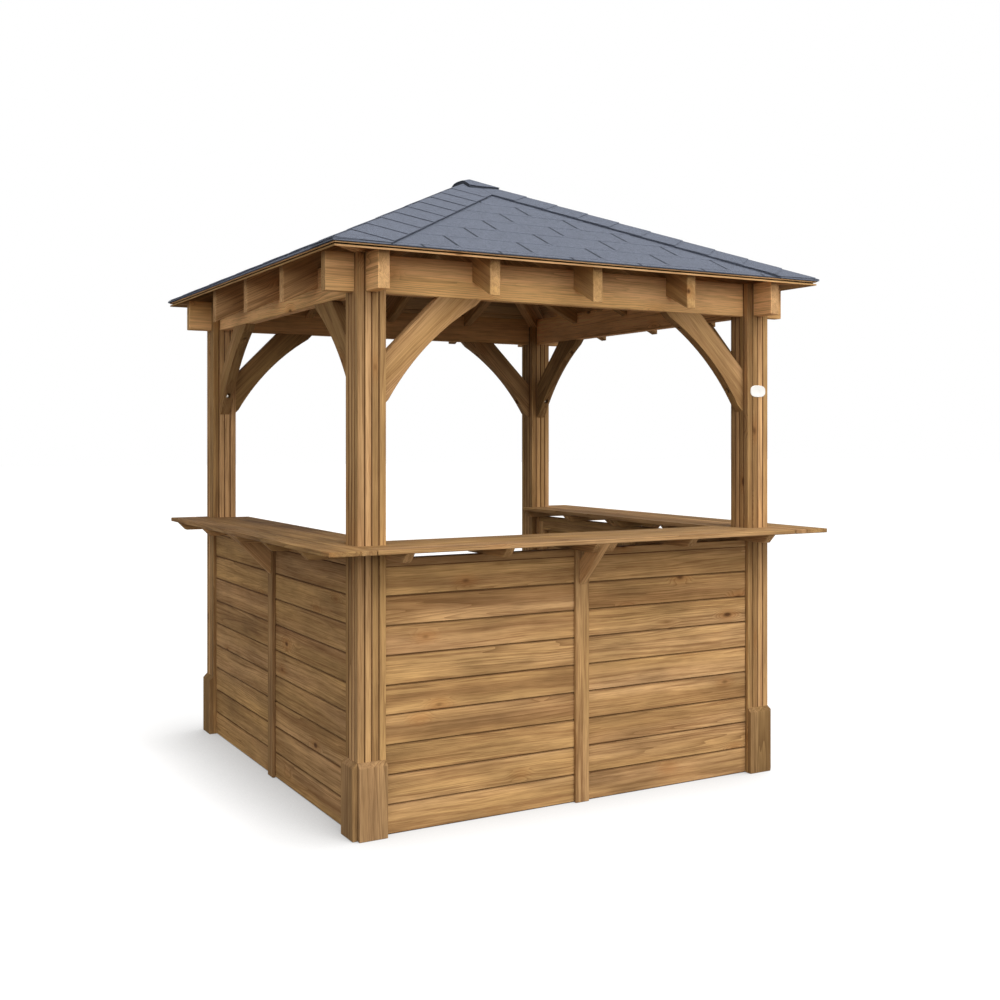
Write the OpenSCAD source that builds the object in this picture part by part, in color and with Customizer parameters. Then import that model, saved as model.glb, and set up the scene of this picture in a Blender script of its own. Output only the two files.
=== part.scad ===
// Garden bar gazebo: four grooved posts, a ring of crossing beams, arched braces, a shingled
// pyramid roof, and boarded bar walls with overhanging counters on three sides.
// Millimetres, +Z up. The origin is on the ground, midway between the posts; the front is at -Y.

/* [Plan] */
// Distance between post centres, the same both ways
post_pitch = 1870; // [1600:10:2400]
// Clearance round pieces that slot together
fit = 0.3; // [0.1:0.1:1]

/* [Posts] */
// Side of the square posts
post_w = 115; // [100:1:140]
// Strips that the grooves divide each post face into
post_strips = 4; // [3:1:5]
// Width of a post groove at the surface
groove_w = 6; // [3:0.5:8]
// Depth of a post groove
groove_d = 4; // [2:0.5:6]
// Thickness of the plinth boards at the post feet
plinth_t = 20; // [12:1:30]
// Height of the plinth boards where they meet the post
plinth_h = 290; // [200:5:400]

/* [Beams] */
// Thickness of the ring beams
beam_t = 45; // [36:1:60]
// Depth of the ring beams
beam_h = 145; // [120:1:160]
// Height of the beams' underside above the ground
beam_under = 2035; // [1950:5:2200]
// How far beams and rafter tails run out past the post centres
tail_out = 170; // [130:5:200]

/* [Braces] */
// Thickness of the knee braces
brace_t = 45; // [36:1:60]
// Where a brace's straight edge meets post and beam, from their corner
brace_top = 236; // [180:1:280]
// Where a brace's toes end on post and beam, from their corner
brace_toe = 425; // [380:5:500]
// Length of the straight cut at each toe
toe_flat = 36; // [20:1:60]
// Rise of the arched underside
brace_rise = 33; // [20:1:55]
// Distance of the fixing holes from the corner of post and beam
bolt_at = 332; // [300:1:350]
// Diameter of the fixing holes
bolt_d = 24; // [16:1:30]
// Timber left under a fixing hole
bolt_seat = 30; // [20:1:40]

/* [Roof] */
// Slope of the roof, in degrees
pitch = 24.75; // [20:0.25:32]
// Thickness of the rafters and hip rafters
rafter_t = 45; // [36:1:60]
// Depth of the rafters, square to the slope
rafter_d = 138; // [120:1:160]
// How far the rafters stand over the beams, above the posts' centres
rafter_over = 85.3; // [60:0.1:110]
// Distance of the jack rafters from the middle rafter
jack_pitch = 472; // [350:1:600]
// How far the roof deck runs out past the post centres
eave_out = 208; // [180:1:300]
// Thickness of the roof deck boards
deck_t = 18; // [12:1:25]
// Thickness of the shingle layers
shingle_t = 7; // [3:0.5:10]
// How far the shingles run past the deck
shingle_over = 6; // [2:1:20]
// Width of a hip cap's wing, measured along the eave
cap_w = 222; // [150:1:300]
// Thickness of the hip caps
cap_t = 8; // [3:0.5:10]
// Width of the tab that caps the apex, in plan
apex_w = 175; // [120:1:240]
// Length of the tab that caps the apex, in plan
apex_l = 236; // [160:1:280]
// Turn of the apex tab from square to the eaves, in degrees
apex_turn = 8; // [0:1:15]

/* [Bar walls] */
// Face width of a wall board
board_cover = 112; // [90:1:140]
// Boards in the height of a wall
board_count = 9; // [7:1:10]
// Thickness of the wall boards
board_t = 18; // [12:1:25]
// How far the boards lie behind the outer faces of the posts
board_set = 15; // [10:1:25]
// Width of the V joint between boards
vee_w = 8; // [4:1:12]
// Face width of the wall frame's members
frame_w = 45; // [34:1:70]
// Depth of the wall frame behind the boards
frame_d = 34; // [25:1:45]
// Thickness of the rail along the top of a wall
rail_h = 28; // [18:1:40]
// Width of the batten up the middle of a wall
batten_w = 65; // [55:1:100]

/* [Counters] */
// How far a counter runs out past the outer faces of the posts
counter_out = 184; // [120:1:250]
// How far a counter runs in past the post centres
counter_in = 123; // [80:1:160]
// Thickness of the counter tops
counter_t = 18; // [12:1:40]
// Width of the counter bearers
bearer_w = 36; // [28:1:50]
// Depth of the counter bearers
bearer_h = 36; // [28:1:60]
// Setback of the bearers' ends from the counter's edges
bearer_inset = 4; // [0:1:20]
// Distance of the quarter bearers from the middle of a side
bearer_quarter = 440; // [250:5:600]
// Thickness of the strut between the two middle bearers
strut_w = 32; // [24:1:60]
// Depth of the strut
strut_d = 70; // [50:1:90]

/* [Hidden] */

timber = "#b08a58";
timber_pale = "#c39c68";
timber_dark = "#8a6640";
slate = "#7d8798";

half = post_pitch / 2;
post_r = post_w / 2;
bay = half - post_r;
post_face = half + post_r;
far = 2 * post_pitch;
beam_top = beam_under + beam_h;
tail_end = half + tail_out;
eave = half + eave_out;
shingle_edge = eave + shingle_over;
plumb = rafter_d / cos(pitch);
deck_v = deck_t / cos(pitch);
shingle_v = deck_v + shingle_t / cos(pitch);
cap_v = shingle_v + cap_t / cos(pitch);
apex_v = cap_v + cap_t / cos(pitch);
hip_side = rafter_t / sqrt(2);
board_face = post_face - board_set;
frame_face = board_face - board_t;
frame_back = frame_face - frame_d;
board_top = board_count * board_cover;
wall_top = board_top + rail_h;
counter_under = wall_top + bearer_h;
counter_edge = post_face + counter_out;
counter_inner = half - counter_in;
bearer_out = counter_edge - bearer_inset;
bearer_in = counter_inner + bearer_inset;
bearer_end = bay - bearer_w / 2;
bearer_mid = (strut_w + bearer_w) / 2;

// Height of the deck's underside at a distance from the roof's centre
function roof_z(d) = beam_top + rafter_over + (half - d) * tan(pitch);

// Turns a front piece to side 0 front, 1 right, 2 back or 3 left
module side(i) {
    rotate(90 * i) children();
}

// Swaps X and Y, for the second piece of a pair at a front left corner
module swap_xy() {
    mirror([1, -1, 0]) children();
}

// Adds a piece's mirror image in the YZ plane
module both_hands() {
    children();
    mirror([1, 0, 0]) children();
}

// Extrudes a profile drawn in Y and Z along X, from x0 to x1
module along_x(x0, x1) {
    translate([x0, 0, 0]) rotate([90, 0, 90]) linear_extrude(x1 - x0) children();
}

// All that lies under the front and back slopes of the deck
module under_gable() {
    along_x(-far, far) polygon([[-far, 0], [far, 0], [far, roof_z(far)], [0, roof_z(0)], [-far, roof_z(far)]]);
}

// A layer on the front slope, between two heights over the deck's underside
module slope_layer(low, high) {
    along_x(-far, far) polygon([
        [-far, roof_z(far) + low], [post_w, roof_z(-post_w) + low],
        [post_w, roof_z(-post_w) + high], [-far, roof_z(far) + high]
    ]);
}

// The part of a slope layer over a plan outline
module slope_piece(low, high, plan) {
    intersection() {
        slope_layer(low, high);
        linear_extrude(far) polygon(plan);
    }
}

// Plan of one side of the roof out to an edge
function slope_plan(edge) = [[0, 0], [-edge, -edge], [edge, -edge]];

// Post with grooved faces and a cross slot for the beams, at the front left corner
module post(i) {
    color(timber) side(i) translate([-half, -half, 0]) difference() {
        linear_extrude(beam_top) post_section();
        for (a = [0, 90]) rotate(a) {
            translate([-post_w, -beam_t / 2 - fit, beam_under]) cube([2 * post_w, beam_t + 2 * fit, beam_h + 1]);
        }
    }
}

module post_section() {
    difference() {
        square(post_w, center = true);
        for (a = [0:90:270], k = [1:post_strips - 1]) rotate(a) translate([k * post_w / post_strips - post_r, -post_r]) {
            polygon([[-groove_w / 2, -1], [-groove_w / 2, 0], [0, groove_d], [groove_w / 2, 0], [groove_w / 2, -1]]);
        }
    }
}

// Bevelled boards round the outer faces of every post's foot
module plinth_boards() {
    color(timber_pale) for (i = [0:3]) side(i) {
        plinth_board();
        swap_xy() plinth_board();
    }
}

module plinth_board() {
    along_x(-post_face, -bay) translate([-post_face, 0]) {
        polygon([[0, 0], [0, plinth_h], [-plinth_t, plinth_h - plinth_t], [-plinth_t, 0]]);
    }
}

// Ring beam of one side, halved into its neighbours where they cross
module beam(i) {
    lap_z = i % 2 == 0 ? beam_under + beam_h / 2 : beam_under - 1;
    color(timber) side(i) intersection() {
        difference() {
            translate([-tail_end, -half - beam_t / 2, beam_under]) cube([2 * tail_end, beam_t, beam_h]);
            both_hands() translate([half - beam_t / 2 - fit, -half - beam_t, lap_z]) {
                cube([beam_t + 2 * fit, 2 * beam_t, beam_h / 2 + 1]);
            }
        }
        rotate(90) under_gable();
    }
}

// The two arched braces of one side
module braces(i) {
    color(timber_pale) side(i) both_hands() translate([-bay, -half, beam_under]) rotate([90, 0, 0]) brace();
}

// Brace with its corner at the origin, reaching along +X and -Y
module brace() {
    chord = brace_toe / sqrt(2);
    half_span = chord - toe_flat;
    arch_r = (half_span * half_span + brace_rise * brace_rise) / (2 * brace_rise);
    arch_at = (chord - brace_rise + arch_r) / sqrt(2);
    difference() {
        translate([0, 0, -brace_t / 2]) linear_extrude(brace_t) difference() {
            polygon([[0, -brace_top], [brace_top, 0], [brace_toe, 0], [0, -brace_toe]]);
            translate([arch_at, -arch_at]) circle(arch_r, $fn = 180);
        }
        translate([bolt_seat, -bolt_at, 0]) rotate([0, 90, 0]) cylinder(d = bolt_d, h = brace_toe, $fn = 48);
        translate([bolt_at, -bolt_seat, 0]) rotate([90, 0, 0]) cylinder(d = bolt_d, h = brace_toe, $fn = 48);
    }
}

// Hip rafter on the diagonal of one corner, seated on the post's top
module hip_rafter(i) {
    color(timber_dark) side(i) difference() {
        intersection() {
            rotate(-45) along_x(-rafter_t / 2, rafter_t / 2) polygon([
                [-tail_end * sqrt(2), roof_z(tail_end) - plumb], [0, roof_z(0) - plumb],
                [0, roof_z(0)], [-tail_end * sqrt(2), roof_z(0)]
            ]);
            under_gable();
            swap_xy() under_gable();
            translate([-far, -far, 0]) cube([far, far, far]);
        }
        translate([-far, -far, 0]) cube([far - bay + fit, far - bay + fit, beam_top]);
    }
}

// Middle and jack rafters of one side, notched over the beam and cut to the hips
module rafters(i) {
    r = rafter_t / 2;
    color(timber_dark) side(i) difference() {
        union() {
            rafter([[-r, -tail_end], [r, -tail_end], [r, -r - hip_side], [0, -hip_side], [-r, -r - hip_side]]);
            both_hands() rafter([
                [jack_pitch - r, -tail_end], [jack_pitch + r, -tail_end],
                [jack_pitch + r, -jack_pitch - r - hip_side], [jack_pitch - r, -jack_pitch + r - hip_side]
            ]);
        }
        translate([-far / 2, -half - beam_t / 2 - fit, 0]) cube([far, beam_t + 2 * fit, beam_top]);
    }
}

module rafter(plan) {
    slope_piece(-plumb, 0, plan);
}

// Boarded deck of one roof slope
module roof_deck(i) {
    color(timber) side(i) slope_piece(0, deck_v, slope_plan(eave));
}

// Shingle layers of one roof slope
module shingles(i) {
    color(slate) side(i) slope_piece(deck_v, shingle_v, slope_plan(shingle_edge));
}

// Folded caps over the four hips
module hip_caps() {
    color(slate) for (i = [0:3]) side(i) slope_piece(shingle_v, cap_v, [
        [0, 0], [-shingle_edge, -shingle_edge], [cap_w - shingle_edge, -shingle_edge],
        [0, -cap_w], [shingle_edge - cap_w, -shingle_edge], [shingle_edge, -shingle_edge]
    ]);
}

// Tab folded over the apex, laid a little out of square
module apex_cap() {
    color(slate) intersection() {
        for (i = [0:3]) side(i) slope_piece(cap_v, apex_v, slope_plan(cap_w));
        rotate(apex_turn) translate([-apex_w / 2, -apex_l / 2, 0]) cube([apex_w, apex_l, far]);
    }
}

// Boards of one wall, with a V joint between each two
module wall_boards(i) {
    vee = vee_w / 2;
    color(timber) side(i) along_x(-bay, bay) polygon(concat(
        [[-frame_face, 0], [-board_face, 0]],
        [for (k = [1:board_count - 1], p = [[0, -vee], [vee, 0], [0, vee]]) [p[0] - board_face, k * board_cover + p[1]]],
        [[-board_face, board_top], [-frame_face, board_top]]
    ));
}

// Frame behind the boards of one wall, with a rail along its top
module wall_frame(i) {
    color(timber_dark) side(i) {
        difference() {
            translate([-bay, -frame_face, 0]) cube([2 * bay, frame_d, board_top]);
            both_hands() translate([frame_w, -frame_face - 1, frame_w]) {
                cube([bay - 2 * frame_w, frame_d + 2, board_top - 2 * frame_w]);
            }
        }
        translate([-bay, -board_face, board_top]) cube([2 * bay, board_face - frame_back, rail_h]);
    }
}

// Battens over the middle joint of the three walls
module wall_battens() {
    color(timber_pale) for (i = [0, 1, 3]) side(i) {
        translate([-batten_w / 2, -post_face, 0]) cube([batten_w, board_set, wall_top]);
    }
}

// Bearers under the front counter
module bearers_front() {
    color(timber) both_hands() for (x = [bearer_mid, bearer_quarter, bearer_end]) bearer(x, bearer_in + bearer_h);
}

// Bearers under the right counter: the first butts on a front bearer
module bearers_right() {
    color(timber) side(1) {
        both_hands() for (x = [bearer_mid, bearer_quarter]) bearer(x, bearer_in + bearer_h);
        bearer(bearer_end, bearer_in + bearer_h);
        bearer(-bearer_end, bay);
    }
}

// Bearer at a place along its side, from the counter's edge in to a distance from the centre
module bearer(x, inner) {
    top_in = inner < bay ? inner - bearer_h : inner;
    along_x(x - bearer_w / 2, x + bearer_w / 2) polygon([
        [-bearer_out, counter_under], [bearer_h - bearer_out, wall_top], [-inner, wall_top], [-top_in, counter_under]
    ]);
}

// Struts from the battens to the counters, each between its two middle bearers
module counter_struts() {
    foot = counter_under - (bearer_out - post_face);
    depth = strut_d * sqrt(2);
    color(timber_pale) for (i = [0, 1, 3]) side(i) along_x(-strut_w / 2, strut_w / 2) polygon([
        [-post_face, foot], [-bearer_out, counter_under], [depth - bearer_out, counter_under], [-post_face, foot + depth]
    ]);
}

// Front counter, mitred at both ends and notched round the posts
module counter_front() {
    color(timber_pale) counter_board([
        [-counter_edge, -counter_edge], [counter_edge, -counter_edge],
        [counter_inner, -counter_inner], [-counter_inner, -counter_inner]
    ]);
}

// Right counter, mitred at the front and cut back inside the back post
module counter_right() {
    color(timber_pale) counter_board([
        [counter_edge, -counter_edge], [counter_edge, post_face], [half, post_face],
        [half, bay], [counter_inner, bay], [counter_inner, -counter_inner]
    ]);
}

module counter_board(plan) {
    translate([0, 0, counter_under]) linear_extrude(counter_t) difference() {
        polygon(plan);
        for (x = [-half, half], y = [-half, half]) translate([x, y]) square(post_w + 2 * fit, center = true);
    }
}

post(0);  // post_front_left
post(1);  // post_front_right
post(2);  // post_back_right
post(3);  // post_back_left
plinth_boards();
beam(0);  // beam_front
beam(1);  // beam_right
beam(2);  // beam_back
beam(3);  // beam_left
braces(0);  // braces_front
braces(1);  // braces_right
braces(2);  // braces_back
braces(3);  // braces_left
hip_rafter(0);  // hip_rafter_front_left
hip_rafter(1);  // hip_rafter_front_right
hip_rafter(2);  // hip_rafter_back_right
hip_rafter(3);  // hip_rafter_back_left
rafters(0);  // rafters_front
rafters(1);  // rafters_right
rafters(2);  // rafters_back
rafters(3);  // rafters_left
roof_deck(0);  // roof_deck_front
roof_deck(1);  // roof_deck_right
roof_deck(2);  // roof_deck_back
roof_deck(3);  // roof_deck_left
shingles(0);  // shingles_front
shingles(1);  // shingles_right
shingles(2);  // shingles_back
shingles(3);  // shingles_left
hip_caps();
apex_cap();
wall_boards(0);  // wall_boards_front
wall_boards(1);  // wall_boards_right
wall_boards(3);  // wall_boards_left
wall_frame(0);  // wall_frame_front
wall_frame(1);  // wall_frame_right
wall_frame(3);  // wall_frame_left
wall_battens();
bearers_front();
bearers_right();
mirror([1, 0, 0]) bearers_right();  // bearers_left
counter_struts();
counter_front();
counter_right();
mirror([1, 0, 0]) counter_right();  // counter_left
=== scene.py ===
"""Garden bar gazebo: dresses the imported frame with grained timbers, boards, shingles and a plain stage."""

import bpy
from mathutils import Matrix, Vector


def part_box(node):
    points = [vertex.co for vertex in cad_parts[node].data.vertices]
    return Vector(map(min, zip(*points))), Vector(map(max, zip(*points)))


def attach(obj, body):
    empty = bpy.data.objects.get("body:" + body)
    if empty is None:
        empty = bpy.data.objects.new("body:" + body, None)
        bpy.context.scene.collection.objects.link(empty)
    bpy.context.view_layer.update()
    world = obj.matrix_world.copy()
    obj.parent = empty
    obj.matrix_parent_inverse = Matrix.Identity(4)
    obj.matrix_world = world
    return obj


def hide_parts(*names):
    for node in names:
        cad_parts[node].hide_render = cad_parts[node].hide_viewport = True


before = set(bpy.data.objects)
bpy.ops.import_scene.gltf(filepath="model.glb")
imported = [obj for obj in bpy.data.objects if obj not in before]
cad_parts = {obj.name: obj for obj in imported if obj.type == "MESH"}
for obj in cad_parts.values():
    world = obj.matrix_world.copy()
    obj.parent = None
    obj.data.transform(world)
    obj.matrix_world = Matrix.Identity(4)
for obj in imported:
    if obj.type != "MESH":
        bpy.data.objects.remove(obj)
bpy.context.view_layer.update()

import math
import random

import bmesh
import bpy
import numpy as np
from bpy.props import FloatProperty, FloatVectorProperty, IntProperty, PointerProperty
from mathutils import Matrix, Vector

bl_info = {
    "name": "Garden bar gazebo",
    "version": (1, 0, 0),
    "blender": (4, 5, 0),
    "location": "View3D > Sidebar > Gazebo",
    "description": "Timbers, boards, shingles and stage of a garden bar gazebo",
    "category": "Add Mesh",
}

# Places read from the frame, in metres from the middle of the gazebo
POST_LOW, POST_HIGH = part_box("post_front_left")
BAY, POST_FACE = -POST_HIGH.x, -POST_LOW.x
HALF = (BAY + POST_FACE) / 2
BEAM_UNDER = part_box("beam_front")[0].z
BOARD_FACE, BOARD_BACK = -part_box("wall_boards_front")[0].y, -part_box("wall_boards_front")[1].y
BOARD_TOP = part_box("wall_boards_front")[1].z
FRAME_BACK, WALL_TOP = -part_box("wall_frame_front")[1].y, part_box("wall_frame_front")[1].z
PLINTH_FACE, PLINTH_TOP = -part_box("plinth_boards")[0].x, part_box("plinth_boards")[1].z
COUNTER_LOW, COUNTER_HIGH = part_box("counter_front")
EAVE, EAVE_UNDER = -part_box("roof_deck_front")[0].y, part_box("roof_deck_front")[0].z
ROOF_EDGE = -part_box("shingles_front")[0].y
RISE = (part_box("roof_deck_front")[1].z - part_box("shingles_front")[0].z) / ROOF_EDGE
SLOPE_COS, SLOPE_SIN = math.cos(math.atan(RISE)), math.sin(math.atan(RISE))
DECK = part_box("shingles_front")[0].z - EAVE_UNDER + (ROOF_EDGE - EAVE) * RISE

# Sides in the order of their turns, the corners in the same order, and the sides that have a wall
SIDES = ("front", "right", "back", "left")
CORNERS = ("front_left", "front_right", "back_right", "back_left")
WALL_SIDES = (0, 1, 3)

# Directions, and the mirrors over a corner's diagonal and over the middle of the front
ALONG, UP = Vector((1, 0, 0)), Vector((0, 0, 1))
SWAP = Matrix(((0, 1, 0, 0), (1, 0, 0, 0), (0, 0, 1, 0), (0, 0, 0, 1)))
FLIP = Matrix.Scale(-1, 4, ALONG)

# Tones beyond those of a plain timber or sheet: painted shade in the eaves' groove, painted light on its
# upper lip, and bare felt darkened further as painted shade
GROOVE_SHADE_TONE, LIP_LIGHT_TONE, FELT_SHADE_TONE = -4.8, 4.0, -14.0

# Angles between faces: softened from the first on, shaded apart from the second, and one face to the third
SOFT_FROM, SHARP_FROM, FLAT = (math.radians(angle) for angle in (28, 32, 0.3))


def linear(screen):
    """A screen colour of 0 to 255 as the linear colour that Blender mixes."""
    parts = [c / 255 for c in screen]
    return [p / 12.92 if p < 0.04045 else ((p + 0.055) / 1.055) ** 2.4 for p in parts]


def length(name, text, size):
    return FloatProperty(name=name, description=text, default=size, min=0, unit="LENGTH", precision=4)


def number(name, text, count):
    return IntProperty(name=name, description=text, default=count, min=1)


def paint(name, text, *screen):
    hue = linear(screen)
    return FloatVectorProperty(name=name, description=text, default=hue, min=0, max=1, subtype="COLOR")


class GazeboSizes(bpy.types.PropertyGroup):
    """Sizes of what the frame leaves to the dressing."""

    arris: length("Arris", "Width of the softened edges on the planed timbers", 0.0022)
    board_count: number("Boards", "Boards in the height of a wall", 9)
    board_vee: length("Board chamfer", "Chamfer along the joints of the wall boards", 0.004)
    board_gap: length("Board end gap", "Gap between the ends of the wall boards and the posts", 0.002)
    stud: length("Stud", "Width of the stiles and rails in the wall frames", 0.045)
    deck_cover: length("Deck board", "Cover of a roof board up the slope", 0.112)
    counter_boards: number("Counter boards", "Boards across a counter", 3)
    tab: length("Tab", "Distance between the slits of a shingle course", 0.3265)
    slit: length("Slit", "Width of the slits between the shingle tabs", 0.0122)
    course: length("Course", "Height of a shingle course up the slope", 0.158)
    starter: length("Starter", "Height of the starter course that shows at the eaves", 0.040)
    sheet: length("Sheet", "Thickness of a shingle", 0.0016)
    eave_lip: length("Eave lip", "How far the shingles stand past the roof boards", 0.003)
    cap_step: length("Cap step", "Distance between the hip caps", 0.155)
    cap_first: length("Cap start", "Lower edge of the first whole hip cap, from the eaves' corner", 0.172)
    cap_wing: length("Cap wing", "Half the width of a hip cap", 0.1665)
    apex_curl: length("Apex curl", "Lift of the left end of the cap over the apex", 0.006)
    bolt_at: length("Bolt place", "Distance of a brace's bolts from its corner", 0.332)
    bolt_seat: length("Bolt seat", "Depth of timber under a brace's bolt heads", 0.030)
    bolt_head: length("Bolt head", "Radius of the bolt heads' washers", 0.0105)
    plate_width: length("Plate width", "Width of the blank oval plate", 0.085)
    plate_height: length("Plate height", "Height of the blank oval plate", 0.052)
    plate_at: length("Plate place", "Height of the blank oval plate over the ground", 1.700)


class GazeboColours(bpy.types.PropertyGroup):
    """Colours of the timbers, the shingles, the fittings and the floor."""

    honey: paint("Honey", "Yellow-brown ground of the timber", 190, 152, 100)
    rose: paint("Rose", "Paler and redder ground of the timber", 202, 162, 116)
    brown: paint("Brown", "Darker streaks of the timber", 132, 96, 62)
    umber: paint("Umber", "Late wood and pores of the timber", 96, 64, 36)
    amber: paint("Amber", "Resin round the knots", 152, 100, 54)
    # The knot colour also serves as the painted shade in the posts' grooves and the wall boards' joints
    knot: paint("Knot", "Heart of the knots", 70, 43, 24)
    slate: paint("Slate", "Mineral grit of the shingles", 121, 129, 146)
    ink: paint("Ink", "Bare felt between the grit", 78, 82, 92)
    zinc: paint("Zinc", "Bolt heads and washers", 238, 232, 216)
    plate: paint("Plate", "Blank oval plate", 240, 240, 238)
    ground: paint("Ground", "Floor of the stage", 240, 240, 240)


# Shader and geometry nodes


def pairing(operation):
    """A method of a wire that puts it and another value through a Math node."""
    return lambda wire, other: wire.math(operation, wire, other)


class Wire:
    """One output socket of a node tree. Arithmetic on it adds Math nodes."""

    def __init__(self, tree, socket=None):
        self.tree, self.socket = tree, socket

    def node(self, kind, settings=None, sockets=None, out=0):
        """Adds a node of a type, with its settings and then its sockets filled, and returns one output."""
        made = self.tree.nodes.new(kind)
        for key, value in (settings or {}).items():
            setattr(made, key, value)
        for key, value in (sockets or {}).items():
            if isinstance(value, Wire):
                self.tree.links.new(value.socket, made.inputs[key])
            else:
                made.inputs[key].default_value = value
        return Wire(self.tree, made.outputs[out] if len(made.outputs) else None)

    def beside(self, name):
        """Another output of the node that this one belongs to."""
        return Wire(self.tree, self.socket.node.outputs[name])

    def attribute(self, name, out="Fac"):
        """An attribute of the mesh, as a number or as a Vector."""
        return self.node("ShaderNodeAttribute", {"attribute_name": name}, None, out)

    def place(self):
        """The object coordinates."""
        return self.node("ShaderNodeTexCoord", None, None, "Object")

    def math(self, operation, *values):
        return self.node("ShaderNodeMath", {"operation": operation}, dict(enumerate(values)))

    __add__, __sub__, __mul__ = pairing("ADD"), pairing("SUBTRACT"), pairing("MULTIPLY")
    __truediv__, __pow__, __mod__ = pairing("DIVIDE"), pairing("POWER"), pairing("MODULO")

    def __rsub__(self, other):
        return self.math("SUBTRACT", other, self)

    def __abs__(self):
        return self.math("ABSOLUTE", self)

    def __floor__(self):
        return self.math("FLOOR", self)

    def off_line(self):
        """Distance of this value from the nearest whole number."""
        return abs(self.math("WRAP", self, 0.5, -0.5))

    def scaled(self, by):
        """This vector or colour times one number."""
        return self.node("ShaderNodeVectorMath", {"operation": "SCALE"}, {0: self, 3: by})

    def times(self, vector):
        """This vector times another, part by part."""
        return self.node("ShaderNodeVectorMath", {"operation": "MULTIPLY"}, {0: self, 1: vector})

    def plus(self, vector):
        """This vector plus another."""
        return self.node("ShaderNodeVectorMath", {"operation": "ADD"}, {0: self, 1: vector})

    def part(self, axis):
        """One part of this vector."""
        return self.node("ShaderNodeSeparateXYZ", None, {0: self}, axis)

    def ease(self, low, high):
        """A soft step of this value from 0 at low to 1 at high."""
        soft = {"interpolation_type": "SMOOTHSTEP"}
        return self.node("ShaderNodeMapRange", soft, {0: self, 1: low, 2: high, 3: 0.0, 4: 1.0})

    def blend(self, ground, over):
        """A colour between two others, with this value as the share of the second."""
        return self.node("ShaderNodeMix", {"data_type": "RGBA"}, {0: self, 6: ground, 7: over}, 2)

    def noise(self, detail, rough=0.5, scale=1.0):
        """Noise over this vector."""
        sockets = {"Vector": self, "Scale": scale, "Detail": detail, "Roughness": rough}
        return self.node("ShaderNodeTexNoise", None, sockets)


def blank(name):
    """A new material and the start of its nodes."""
    made = bpy.data.materials.new(name)
    made.use_nodes = True
    made.node_tree.nodes.clear()
    return made, Wire(made.node_tree)


def surface(start, sockets):
    """Ends a material's nodes in one Principled surface."""
    shader = start.node("ShaderNodeBsdfPrincipled", None, sockets)
    start.node("ShaderNodeOutputMaterial", None, {"Surface": shader})


def bumped(start, strength, distance, height):
    """The normal of a surface with small unevenness."""
    sockets = {"Strength": strength, "Distance": distance, "Height": height}
    return start.node("ShaderNodeBump", None, sockets)


def tint(name):
    """One of the gazebo's colours, with full alpha."""
    return (*getattr(bpy.context.scene.gazebo_colours, name), 1.0)


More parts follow.
